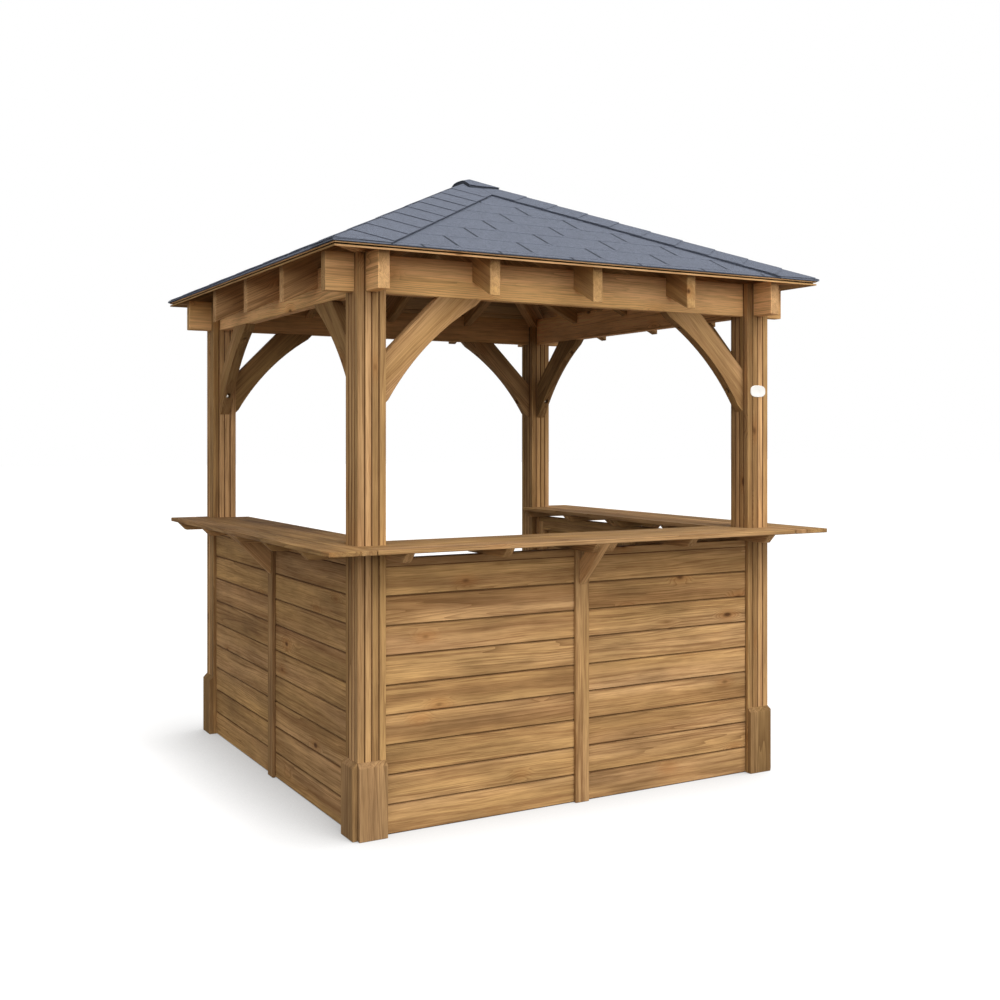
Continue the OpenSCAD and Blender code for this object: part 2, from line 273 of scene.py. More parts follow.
def timber(name, light=1.0, strips=0.0, vivid=1.0, joints=0.0, ends=0.0):
    """Planed and treated softwood. Its grain follows the timber's own grain attribute.

    light scales the colour, and vivid the markings. strips is the width of a post's laminations, or 0,
    joints is the height of a wall's boards, or 0, and ends is how much darker the end grain is, which takes
    painted light off end faces that the shade it makes up for does not reach."""
    made, start = blank(name)
    grain, tone = start.attribute("grain", "Vector"), start.attribute("tone")
    if strips:
        # Each strip of a post has its own chance, and the grooves between strips get painted shade
        place = start.place()
        x, y = place.part(0), place.part(1)
        across = [(abs(p) - BAY) / strips for p in (x, y)]
        corner = x.math("SIGN", x) + y.math("SIGN", y) * 3.0
        strip = [math.floor(p) for p in across]
        cell = start.node("ShaderNodeCombineXYZ", None, {0: strip[0], 1: strip[1], 2: corner})
        away = [p.off_line() + abs(p - 2.0).ease(1.4, 1.6) for p in across]
        groove, dark = start.math("MINIMUM", *away).ease(0.15, 0.05), 0.70
        chance = start.node("ShaderNodeTexWhiteNoise", {"noise_dimensions": "3D"}, {"Vector": cell})
        tone = (chance - 0.5) * 3.0
        grain = grain.plus(cell.scaled(0.37))
    if joints:
        # Painted shade along the chamfered joints between wall boards
        rise = start.place().part(2) / joints
        groove, dark = (rise.off_line() * joints).ease(0.0062, 0.0022), 0.62
    # The grain bends, and runs round knots in some of the cells
    wave = grain.times((1.6, 3.0, 3.0)).noise(2.0) - 0.5
    flow = grain.plus(start.node("ShaderNodeCombineXYZ", None, {1: wave * 0.022, 2: wave * 0.017}))
    cells = {"Vector": grain.times((3.4, 7.0, 7.0)), "Scale": 1.0}
    knots = start.node("ShaderNodeTexVoronoi", None, cells)
    chosen = start.node("ShaderNodeSeparateColor", None, {0: knots.beside("Color")}).ease(0.30, 0.36)
    knot, halo = knots.ease(0.10, 0.03) * chosen, knots.ease(0.30, 0.05) * chosen
    # Markings, from wide bands down to fibres, each stretched along the grain
    band = flow.times((0.42, 13.0, 13.0)).noise(3.0, 0.55)
    year = flow.times((0.24, 9.0, 9.0)).noise(1.4) * 34.0 + halo * 3.0
    late = year.math("FRACT", year) ** 2.4
    strong = grain.times((0.7, 5.0, 5.0)).noise(1.0).ease(0.40, 0.62)
    streak = flow.times((1.9, 62.0, 62.0)).noise(5.0, 0.70)
    fibre = grain.times((9.0, 330.0, 330.0)).noise(2.0, 0.6)
    cloud = grain.times((2.4, 7.0, 7.0)).noise(3.0, 0.6)
    hue = (grain.times((0.5, 6.0, 6.0)).noise(2.0) + tone * 0.10).ease(0.34, 0.66)
    # Each marking darkens the colour by its share
    colour = hue.blend(tint("honey"), tint("rose"))
    for share, over in (
        (band.ease(0.40, 0.70) * (0.52 * vivid), "brown"),
        (streak.ease(0.40, 0.70) * (0.62 * vivid), "brown"),
        (late * (strong * 0.46 + 0.10), "umber"),
        (fibre.ease(0.46, 0.70) * 0.32, "umber"),
        (halo * 0.40, "amber"),
    ):
        colour = share.blend(colour, tint(over))
    # End grain is darkened to take painted light back off end faces outside the shade
    if ends:
        light = light - start.attribute("end") * (ends * light)
    colour = colour.scaled((tone * 0.19 + (cloud - 0.5) * (1.1 * vivid) + 1.11) * light)
    colour = (knot * 0.85).blend(colour, tint("knot"))
    # Painted shade in the grooves and joints, in the knot colour
    if strips or joints:
        colour = (groove * dark).blend(colour, tint("knot"))
    surface(start, {
        "Base Color": colour, "Roughness": fibre * 0.16 + streak * 0.1 + 0.64, "Specular IOR Level": 0.08,
        "Normal": bumped(start, 0.35, 0.0008, fibre * 0.5 + late * 0.35 + streak * 0.25 - knot * 0.4),
    })
    return made


def shingle(name):
    """Roofing felt with mineral grit. Each sheet has its own tone attribute."""
    made, start = blank(name)
    place, tone = start.place(), start.attribute("tone")
    grit, drift = place.noise(2.0, 0.7, 520.0), place.noise(3.0, 0.6, 55.0)
    patch = place.noise(2.0, 0.5, 6.0)
    colour = grit.ease(0.62, 0.36).blend(tint("slate"), tint("ink"))
    colour = (drift.ease(0.42, 0.7) * 0.3).blend(colour, tint("ink"))
    colour = colour.scaled(tone * 0.05 + (patch - 0.5) * 0.16 + 1.06)
    surface(start, {
        "Base Color": colour, "Roughness": drift * 0.15 + 0.8, "Specular IOR Level": 0.12,
        "Normal": bumped(start, 0.5, 0.0012, grit + drift * 0.6),
    })
    return made


def plated(name):
    """Zinc plate on the bolt heads, dulled in places."""
    made, start = blank(name)
    dull = start.place().noise(3.0, 0.6, 160.0)
    colour = (dull.ease(0.4, 0.8) * 0.3).blend(tint("zinc"), tint("brown"))
    surface(start, {"Base Color": colour, "Roughness": dull * 0.2 + 0.16, "Metallic": 0.9})
    return made


def enamel(name):
    """White enamel of the blank plate, faintly clouded."""
    made, start = blank(name)
    cloud = start.place().noise(2.0, 0.5, 40.0)
    clear = tint("plate")
    clouded = (*(c * 0.93 for c in clear[:3]), 1.0)
    colour = cloud.ease(0.4, 0.8).blend(clear, clouded)
    surface(start, {"Base Color": colour, "Roughness": cloud * 0.15 + 0.25})
    return made


def new_tree(name, *inputs):
    """An empty geometry node tree, the start of its nodes, and its inputs, the geometry first."""
    tree = bpy.data.node_groups.new(name, "GeometryNodeTree")
    for label, kind in (("Geometry", "Geometry"), *inputs):
        tree.interface.new_socket(label, in_out="INPUT", socket_type="NodeSocket" + kind)
    tree.interface.new_socket("Geometry", in_out="OUTPUT", socket_type="NodeSocketGeometry")
    given = tree.nodes.new("NodeGroupInput").outputs
    return tree, Wire(tree), [Wire(tree, given[k]) for k in range(len(inputs) + 1)]


def end_tree(start, solid, material):
    """Ends a geometry node tree in a solid with a material."""
    solid = start.node("GeometryNodeSetMaterial", None, {"Geometry": solid, "Material": material})
    start.node("NodeGroupOutput", None, {0: solid})


def repeat_tree():
    """Geometry nodes that repeat a piece in columns and rows, each copy with its own tone and grain."""
    tree, start, given = new_tree(
        "repeat_in_rows", ("Columns", "Int"), ("Rows", "Int"), ("Column Step", "Vector"),
        ("Row Step", "Vector"), ("Stagger", "Vector"), ("Jitter", "Vector"), ("Seed", "Int"),
        ("Material", "Material"),
    )
    geometry, columns, rows, column_step, row_step, stagger, jitter, seed, material = given
    vector = {"data_type": "FLOAT_VECTOR"}
    index = start.node("GeometryNodeInputIndex")
    row = math.floor(index / columns)
    column = index - row * columns
    spot = column_step.scaled(column).plus(row_step.scaled(row)).plus(stagger.scaled(row % 2.0))
    spread = start.node("FunctionNodeRandomValue", vector, {0: (-1, -1, -1), 1: (1, 1, 1), "Seed": seed})
    places = {"Count": columns * rows, "Position": spot.plus(spread.times(jitter))}
    points = start.node("GeometryNodePoints", None, places)
    copies = start.node("GeometryNodeInstanceOnPoints", None, {"Points": points, "Instance": geometry})
    chance = {2: -1.0, 3: 1.0, "Seed": seed + 7}
    tone = start.node("FunctionNodeRandomValue", {"data_type": "FLOAT"}, chance, 1)
    shift = start.node("FunctionNodeRandomValue", vector, {0: (0, 0, 0), 1: (9, 9, 9), "Seed": seed + 3})

    def stored(geometry, name, kind, domain, value):
        return start.node(
            "GeometryNodeStoreNamedAttribute", {"data_type": kind, "domain": domain},
            {"Geometry": geometry, "Name": name, "Value": value},
        )

    copies = stored(copies, "tone", "FLOAT", "INSTANCE", tone)
    copies = stored(copies, "shift", "FLOAT_VECTOR", "INSTANCE", shift)
    solid = start.node("GeometryNodeRealizeInstances", None, {"Geometry": copies})
    own, other = (
        start.node("GeometryNodeInputNamedAttribute", vector, {"Name": name}) for name in ("grain", "shift")
    )
    solid = stored(solid, "grain", "FLOAT_VECTOR", "POINT", own.plus(other))
    end_tree(start, solid, material)
    return tree


def heads_tree():
    """Geometry nodes that set one fitting on each point, standing along the point's aim attribute."""
    tree, start, given = new_tree("heads_on_points", ("Fitting", "Object"), ("Material", "Material"))
    geometry, fitting, material = given
    points = start.node("GeometryNodeMeshToPoints", None, {"Mesh": geometry})
    aim = start.node("GeometryNodeInputNamedAttribute", {"data_type": "FLOAT_VECTOR"}, {"Name": "aim"})
    turn = start.node("FunctionNodeAlignRotationToVector", {"axis": "Z"}, {"Vector": aim})
    shape = start.node("GeometryNodeObjectInfo", None, {"Object": fitting}, "Geometry")
    copies = start.node(
        "GeometryNodeInstanceOnPoints", None, {"Points": points, "Instance": shape, "Rotation": turn}
    )
    end_tree(start, start.node("GeometryNodeRealizeInstances", None, {"Geometry": copies}), material)
    return tree


def placed(name, data):
    """A new object in the scene, at the origin."""
    made = bpy.data.objects.new(name, data)
    bpy.context.scene.collection.objects.link(made)
    return made


def grown(data, tree, **inputs):
    """The plain mesh that a geometry node tree makes of a mesh, with the tree's named inputs set."""
    holder = placed("growing", data)
    modifier = holder.modifiers.new("grow", "NODES")
    modifier.node_group = tree
    for item in tree.interface.items_tree:
        key = item.name.lower().replace(" ", "_")
        if item.in_out == "INPUT" and key in inputs:
            modifier[item.identifier] = inputs[key]
    bpy.context.view_layer.update()
    made = bpy.data.meshes.new_from_object(holder.evaluated_get(bpy.context.evaluated_depsgraph_get()))
    bpy.data.objects.remove(holder)
    bpy.data.meshes.remove(data)
    return made


# Solids


def skinned(*rings):
    """Closed solid over two or more rings with as many points each."""
    solid = bmesh.new()
    loops = [[solid.verts.new(p) for p in ring] for ring in rings]
    for loop in (loops[0], loops[-1]):
        solid.faces.new(loop)
    for low, high in zip(loops, loops[1:]):
        for k in range(len(low)):
            solid.faces.new((low[k - 1], low[k], high[k], high[k - 1]))
    bmesh.ops.recalc_face_normals(solid, faces=solid.faces)
    return solid


def prism(outline, x0, x1):
    """Solid along X with an outline drawn in Y and Z."""
    return skinned([(x0, y, z) for y, z in outline], [(x1, y, z) for y, z in outline])


def mitred(outline):
    """Solid along the front of the roof, cut to both hips.

    The outline has distances from the middle and heights."""
    return skinned([(-d, -d, z) for d, z in outline], [(d, -d, z) for d, z in outline])


def block(x0, x1, y0, y1, z0, z1):
    return prism([(y0, z0), (y1, z0), (y1, z1), (y0, z1)], x0, x1)


def around(count):
    """Cosines and sines of as many steps round a circle."""
    angles = [2 * math.pi * k / count for k in range(count)]
    return [(math.cos(a), math.sin(a)) for a in angles]


def moved(solid, turn):
    """The same solid put through a matrix, still facing outwards."""
    solid.transform(turn)
    if turn.determinant() < 0:
        bmesh.ops.reverse_faces(solid, faces=solid.faces)
    return solid


def cut(solid, point, normal):
    """Keeps the part of a solid behind a plane, and closes the cut."""
    geometry = solid.verts[:] + solid.edges[:] + solid.faces[:]
    bmesh.ops.bisect_plane(
        solid, geom=geometry, dist=1e-6, plane_co=point, plane_no=normal, clear_outer=True
    )
    rim = [e for e in solid.edges if e.is_boundary]
    if rim:
        bmesh.ops.holes_fill(solid, edges=rim, sides=0)
        bmesh.ops.recalc_face_normals(solid, faces=solid.faces)


def merge(solid):
    """Takes doubled points and the edges inside flat faces out of a solid."""
    bmesh.ops.remove_doubles(solid, verts=solid.verts, dist=1e-5)
    bmesh.ops.dissolve_limit(solid, angle_limit=FLAT, verts=solid.verts, edges=solid.edges)


def meshed(name, solid):
    """Mesh of a solid, which is freed."""
    made = bpy.data.meshes.new(name)
    solid.to_mesh(made)
    solid.free()
    return made


def joined(first, second, normal):
    """One solid of two that share a face outside the posts, square to a direction."""
    for solid in (first, second):
        solid.normal_update()
        shared = [
            f for f in solid.faces
            if abs(f.normal.dot(normal)) > 0.999 and abs(f.calc_center_median().x) > POST_FACE
        ]
        bmesh.ops.delete(solid, geom=shared, context="FACES")
    data = meshed("joining", second)
    first.from_mesh(data)
    bpy.data.meshes.remove(data)
    merge(first)
    return first


def solids_of(node):
    """Merged copies of the separate solids in a CAD node."""
    whole = bmesh.new()
    whole.from_mesh(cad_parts[node].data)
    merge(whole)
    whole.verts.index_update()
    whole.verts.ensure_lookup_table()
    seen, found = set(), []
    for first in whole.verts:
        if first.index in seen:
            continue
        seen.add(first.index)
        group, queue = [first], [first]
        while queue:
            for edge in queue.pop().link_edges:
                for vert in edge.verts:
                    if vert.index not in seen:
                        seen.add(vert.index)
                        group.append(vert)
                        queue.append(vert)
        solid, twin = bmesh.new(), {}
        for vert in group:
            twin[vert.index] = solid.verts.new(vert.co)
        faces = {f.index: f for v in group for f in v.link_faces}
        for index in sorted(faces):
            solid.faces.new([twin[v.index] for v in faces[index].verts])
        solid.normal_update()
        found.append(solid)
    whole.free()
    return found


def soften(solid, width):
    """Takes the sharpness off a solid's outer edges."""
    solid.normal_update()
    outer = [e for e in solid.edges if e.is_manifold and e.is_convex]
    sharp = [e for e in outer if e.calc_face_angle(0) > SOFT_FROM]
    bmesh.ops.bevel(
        solid, geom=sharp, offset=width, segments=1, profile=0.5, affect="EDGES", clamp_overlap=True
    )


class Stack:
    """Gathers solids into one mesh, and gives each timber its own grain and tone."""

    def __init__(self, seed):
        self.luck = random.Random(seed)
        self.mesh = bmesh.new()
        self.grain = self.mesh.verts.layers.float_vector.new("grain")
        self.tone = self.mesh.verts.layers.float.new("tone")
        self.end = self.mesh.faces.layers.float.new("end")

    def add(self, solid, along=None, arris=0.0):
        """Adds a solid whose grain runs along a direction, or else along its length."""
        points = np.array([v.co for v in solid.verts])
        centre = Vector(points.mean(0))
        if along is None:
            along = np.linalg.eigh(np.cov((points - points.mean(0)).T))[1][:, 2]
        along = Vector(along).normalized()
        across = along.orthogonal().normalized()
        turn = Matrix((along, across, along.cross(across)))
        if arris:
            soften(solid, arris)
        shift = Vector([self.luck.uniform(0, 9) for _ in range(3)])
        tone = self.luck.uniform(-1, 1)
        self.copy(solid, lambda v: (turn @ (v.co - centre) + shift, tone), along)

    def add_grown(self, solid):
        """Adds a solid that has a grain and a tone already."""
        grain = solid.verts.layers.float_vector["grain"]
        tone = solid.verts.layers.float["tone"]
        self.copy(solid, lambda v: (v[grain].copy(), v[tone]))

    def add_felt_with_shade(self, solid):
        """Adds a solid of bare felt, darkened past the felt's own colour as painted shade."""
        self.copy(solid, lambda v: (v.co, FELT_SHADE_TONE))

    def copy(self, solid, finish, along=Vector()):
        """Adds every face of a solid, with the grain and tone that finish gives for a point, and frees it.

        Faces square to the direction along are marked as end grain."""
        solid.normal_update()
        twin = {}
        for vert in solid.verts:
            made = twin[vert] = self.mesh.verts.new(vert.co)
            made[self.grain], made[self.tone] = finish(vert)
        for face in solid.faces:
            made = self.mesh.faces.new([twin[v] for v in face.verts])
            made[self.end] = float(abs(face.normal.dot(along)) > 0.97)
        solid.free()

    def data(self, name):
        self.mesh.normal_update()
        return meshed(name, self.mesh)


def grainy(solid, along):
    """Mesh of a solid with a grain attribute along a direction, to be repeated."""
    pile = Stack(1)
    pile.add(solid, along)
    return pile.data("repeated")


def opened(data):
    """A mesh opened for cutting, and taken out of the file."""
    solid = bmesh.new()
    solid.from_mesh(data)
    bpy.data.meshes.remove(data)
    return solid


def finish_piece(name, data, slot, material, *nodes):
    """Makes a finished object that rides on the frame and stands for its CAD nodes."""
    data.materials.clear()
    data.materials.append(material)
    data.polygons.foreach_set("use_smooth", [True] * len(data.polygons))
    data.set_sharp_from_angle(angle=SHARP_FROM)
    piece = placed(name, data)
    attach(piece, "root")
    if nodes:
        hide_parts(*nodes)


def side_turn(side):
    """Turn that takes what is drawn on the front to a side: front, right, back or left."""
    return Matrix.Rotation(side * math.pi / 2, 4, "Z")


def dress_nodes(nodes, slot, material, seed, arris, along=None):
    """Copies CAD nodes as softened timbers, one piece a node."""
    for k, node in enumerate(nodes):
        pile = Stack(seed + k)
        for solid in solids_of(node):
            pile.add(solid, along, arris)
        finish_piece(node + "_timber", pile.data(node), slot, material, node)


def deck_under(distance):
    """Height of the roof boards' underside at a distance from the middle."""
    return EAVE_UNDER + (EAVE - distance) * RISE


def slope_frame():
    """Matrix that lays X along the front eave, Y up its slope and Z off its boards."""
    origin = Vector((0, -ROOF_EDGE, deck_under(ROOF_EDGE) + DECK))
    up, off = Vector((0, SLOPE_COS, SLOPE_SIN)), Vector((0, -SLOPE_SIN, SLOPE_COS))
    return Matrix.Translation(origin) @ Matrix((ALONG, up, off)).transposed().to_4x4()


# Operators, one for each group of pieces


class GAZEBO_OT_posts(bpy.types.Operator):
    """Grooved posts and the boards round their feet."""

    bl_idname = "gazebo.posts"
    bl_label = "Posts and plinths"

    def execute(self, context):
        post_arris, plinth_arris = 0.0009, context.scene.gazebo_sizes.arris * 0.6
        posts = timber("post_timber", 0.90, strips=(POST_FACE - BAY) / 4)
        dress_nodes(["post_" + c for c in CORNERS], "post_timber", posts, 11, post_arris, UP)
        bevel = PLINTH_TOP - (PLINTH_FACE - POST_FACE)
        outline = [(-POST_FACE, 0), (-POST_FACE, PLINTH_TOP), (-PLINTH_FACE, bevel), (-PLINTH_FACE, 0)]
        pile = Stack(21)
        for side in range(4):
            for turn in (side_turn(side), side_turn(side) @ SWAP):
                pile.add(moved(prism(outline, -POST_FACE, -BAY), turn), UP, plinth_arris)
        plinths = timber("plinth_timber", 0.60, vivid=0.9)
        finish_piece("plinth_timber", pile.data("plinths"), "plinth_timber", plinths, "plinth_boards")
        return {"FINISHED"}


class GAZEBO_OT_roof_frame(bpy.types.Operator):
    """Ring beams, arched braces, hip rafters and jack rafters."""

    bl_idname = "gazebo.roof_frame"
    bl_label = "Roof frame"

    def execute(self, context):
        arris, rafters = context.scene.gazebo_sizes.arris, timber("rafter_timber")
        for prefix, words, slot, material, seed in (
            # The beams' raised light is painted light against the eaves' shade on their faces, and ends
            # takes it back off their end grain
            ("beam_", SIDES, "beam_timber", timber("beam_timber", 1.54, vivid=0.7, ends=0.4), 31),
            ("braces_", SIDES, "brace_timber", timber("brace_timber", 0.85), 41),
            ("hip_rafter_", CORNERS, "rafter_timber", rafters, 51),
            ("rafters_", SIDES, "rafter_timber", rafters, 61),
        ):
            dress_nodes([prefix + word for word in words], slot, material, seed, arris)
        return {"FINISHED"}


class GAZEBO_OT_roof_boards(bpy.types.Operator):
    """Chamfered roof boards, mitred at the hips. The outermost has a groove along its edge, with painted
    shade in the groove and painted light on its upper lip.
    """

    bl_idname = "gazebo.roof_boards"
    bl_label = "Roof boards"

    def execute(self, context):
        step = context.scene.gazebo_sizes.deck_cover * SLOPE_COS
        material = timber("deck_boards", 0.97)
        vee, lip, depth, gap, near = 0.003, 0.0066, 0.010, 0.0005, 1e-4
        least, innermost = 0.02, 0.004
        for side, word in enumerate(SIDES):
            pile, turn = Stack(71 + side), side_turn(side)
            outer = EAVE
            while outer > least:
                inner = max(outer - step, innermost)
                rim, foot = deck_under(outer), deck_under(inner)
                upper = rim + DECK - lip
                edge = [(outer - vee, deck_under(outer - vee)), (outer, rim + vee)]
                if outer == EAVE:
                    edge = [(outer, rim), (outer, rim + lip), (outer - depth, rim + lip)]
                    edge += [(outer - depth, upper), (outer, upper)]
                back = [(inner + gap, foot + DECK), (inner + gap, foot + vee)]
                back.append((inner + vee, deck_under(inner + vee)))
                board = mitred(edge + [(outer, rim + DECK)] + back)
                pile.add(moved(board, turn), turn.col[0][:3])
                # Painted shade at the bottom of the eave board's groove, and painted light on its upper lip
                # under the shingles' overhang
                if outer == EAVE:
                    for vert in pile.mesh.verts:
                        inset = EAVE - max(abs(vert.co.x), abs(vert.co.y))
                        if abs(inset - depth) < near:
                            vert[pile.tone] = GROOVE_SHADE_TONE
                        elif inset < near and vert.co.z > upper - near:
                            vert[pile.tone] = LIP_LIGHT_TONE
                outer -= step
            data = pile.data("deck")
            finish_piece(f"deck_{word}_boards", data, "deck_boards", material, "roof_deck_" + word)
        return {"FINISHED"}


class GAZEBO_OT_shingles(bpy.types.Operator):
    """Staggered courses of shingle tabs on the four slopes, over felt with a drip at the eaves. The felt is
    darkened as painted shade in the slits and along the eaves.
    """

    bl_idname = "gazebo.shingles"
    bl_label = "Shingles"

    def execute(self, context):
        sizes = context.scene.gazebo_sizes
        tree, material = repeat_tree(), shingle("shingle_grit")
        high, low, lap, thin, aside = 0.0016, 0.0006, 0.030, sizes.sheet / 2, 0.027
        columns = 2 * math.ceil(ROOF_EDGE / sizes.tab) + 2
        rows = math.ceil(ROOF_EDGE / SLOPE_COS / sizes.course) + 1
        start = sizes.starter - sizes.course
        top = start + (sizes.course + lap)
        outline = [(start, high), (top, low), (top, low + thin), (start, high + thin)]
        left = (0.5 - columns / 2) * sizes.tab + aside
        x0, x1 = left + sizes.slit / 2, left + sizes.tab - sizes.slit / 2
        lip = EAVE + sizes.eave_lip

        # Felt under the courses, and the drip, darkened as painted shade in the slits and along the eave
        # edge: distances from the middle, then heights off the boards
        felts = ((0.002, lip - 0.003, 0.0001, 0.0005), (lip - 0.002, lip + 0.0008, -0.0012, 0.0030))
        for side, word in enumerate(SIDES):
            roof = opened(grown(
                grainy(prism(outline, x0, x1), (0, 1, 0)), tree, columns=columns, rows=rows,
                column_step=(sizes.tab, 0, 0), row_step=(0, sizes.course, 0), stagger=(sizes.tab / 2, 0, 0),
                jitter=(0.0006, 0.0012, 0.0001), seed=90 + side, material=material,
            ))
            cut(roof, (0, (ROOF_EDGE - lip) / SLOPE_COS, 0), (0, -1, 0))
            for hand in (-1, 1):
                cut(roof, (hand * ROOF_EDGE, 0, 0), (hand, SLOPE_COS, 0))
            pile = Stack(1)
            pile.add_grown(moved(roof, side_turn(side) @ slope_frame()))
            for near, far, under, over in felts:
                rim = ((near, under), (near, over), (far, over), (far, under))
                felt = mitred([(d, deck_under(d) + DECK + h) for d, h in rim])
                pile.add_felt_with_shade(moved(felt, side_turn(side)))
            data = pile.data("courses")
            finish_piece(f"shingle_{word}_courses", data, "shingle", material, "shingles_" + word)
        return {"FINISHED"}


def hip_caps(sizes, material):
    """Caps folded over the hips, each lapping the one below, on a bed that closes them underneath."""
    tree, pile = repeat_tree(), Stack(1)
    foot = Vector((-ROOF_EDGE, -ROOF_EDGE, deck_under(ROOF_EDGE) + DECK))
    hip = Vector((1, 1, RISE)).normalized()
    slopes = Vector((0, -SLOPE_SIN, SLOPE_COS)), Vector((-SLOPE_SIN, 0, SLOPE_COS))
    wings = hip.cross(slopes[0]).normalized(), -hip.cross(slopes[1]).normalized()
    lap, fold, high, low, past, spare = 0.05, 0.016, 0.0120, 0.0080, 0.003, 0.04
    bed_wing, bed_low, bed_high = 0.98 * sizes.cap_wing, 0.0030, low - 0.0004
    begin, end = sizes.cap_first - 2 * sizes.cap_step, ROOF_EDGE * math.sqrt(2 + RISE * RISE)
    count = int((end - begin - spare) / sizes.cap_step)
    edge, middle = ROOF_EDGE + past, (-0.001, -0.001, 0)
    planes = (
        ((-edge, 0, 0), (-1, 0, 0)), ((0, -edge, 0), (0, -1, 0)), (middle, (1, 0, 0)), (middle, (0, 1, 0)),
    )

    def ring(along, widths, under, over):
        """Outline across the hip at a length up it, between two heights off the slopes."""
        points = []
        for across, lift in [(w, under) for w in widths] + [(w, over) for w in widths[::-1]]:
            way = 0 if across >= 0 else 1
            off = (slopes[0] + slopes[1]).normalized() if across == 0 else slopes[way]
            points.append(foot + hip * along + wings[way] * abs(across) + off * lift)
        return points

    ribs = [-sizes.cap_wing, -fold, 0, fold, sizes.cap_wing]
    for corner in range(4):
        cap = skinned(
            ring(begin, ribs, high, high + sizes.sheet),
            ring(begin + (sizes.cap_step + lap), ribs, low, low + sizes.sheet),
        )
        caps = opened(grown(
            grainy(cap, hip), tree, columns=count, rows=1, column_step=hip * sizes.cap_step,
            jitter=(0.0008, 0.0008, 0), seed=120 + corner, material=material,
        ))
        bed = skinned(*(ring(at, [-bed_wing, 0, bed_wing], bed_low, bed_high) for at in (begin, end)))
        for point, normal in planes:
            cut(caps, point, normal)
            cut(bed, point, normal)
        pile.add_grown(moved(caps, side_turn(corner)))
        pile.add(moved(bed, side_turn(corner)), UP)
    finish_piece("hip_cap_sheets", pile.data("caps"), "shingle", material, "hip_caps")


def apex_cap(sizes, material):
    """The last cap, folded over the apex with its left end curled, and under it a dark felt bed that stands
    for the shade beneath the curled end.
    """
    corners = [Vector(c) for c in ((-0.074, -0.140), (0.106, -0.112), (-0.050, 0.110), (0.074, 0.129))]
    count, fold, foot, seat, thick = 13, 0.02, 0.011, 0.0215, sizes.sheet * 1.6
    steps = [2 * k / (count - 1) - 1 for k in range(count)]

    def folded(levels, trim):
        """Closed sheet between two levels, each with its height and the curl of its left end."""
        solid, sheets, last = bmesh.new(), [], count - 1
        for lift, curl in levels:
            sheet = []
            for u in steps:
                ends = [corners[k].lerp(corners[k + 1], (u * trim + 1) / 2) for k in (0, 2)]
                for v in steps:
                    p = ends[0].lerp(ends[1], (v * trim + 1) / 2)
                    x, y = abs(p.x), abs(p.y)
                    far = (x + y + math.hypot(x - y, fold)) / 2
                    height = deck_under(far) + DECK + lift + curl * max(-u, 0) ** 2
                    sheet.append(solid.verts.new((p.x, p.y, height)))
            sheets.append(sheet)
        under, over = sheets
        for j in range(last):
            for i in range(last):
                face = [j * count + i, j * count + i + 1, (j + 1) * count + i + 1, (j + 1) * count + i]
                solid.faces.new([under[k] for k in face])
                solid.faces.new([over[k] for k in face[::-1]])
        rim = [k * count for k in range(count)] + [last * count + i for i in range(1, count)]
        rim += [k * count + last for k in range(last - 1, -1, -1)] + list(range(last - 1, 0, -1))
        for a, b in zip(rim, rim[1:] + rim[:1]):
            solid.faces.new((under[a], under[b], over[b], over[a]))
        bmesh.ops.recalc_face_normals(solid, faces=solid.faces)
        return solid

    pile, curl, gap, inner = Stack(2), sizes.apex_curl, 0.0002, 0.97
    pile.add(folded(((seat, curl), (seat + thick, curl)), 1.0), ALONG)
    # Painted shade: the dark felt bed fills the gap under the curled end
    pile.add_felt_with_shade(folded(((foot, 0.0), (seat - gap, curl)), inner))
    finish_piece("apex_cap_sheet", pile.data("apex"), "shingle", material, "apex_cap")


class GAZEBO_OT_caps(bpy.types.Operator):
    """Folded caps up the hips and the last cap over the apex."""

    bl_idname = "gazebo.caps"
    bl_label = "Hip and apex caps"

    def execute(self, context):
        material = shingle("cap_grit")
        hip_caps(context.scene.gazebo_sizes, material)
        apex_cap(context.scene.gazebo_sizes, material)
        return {"FINISHED"}


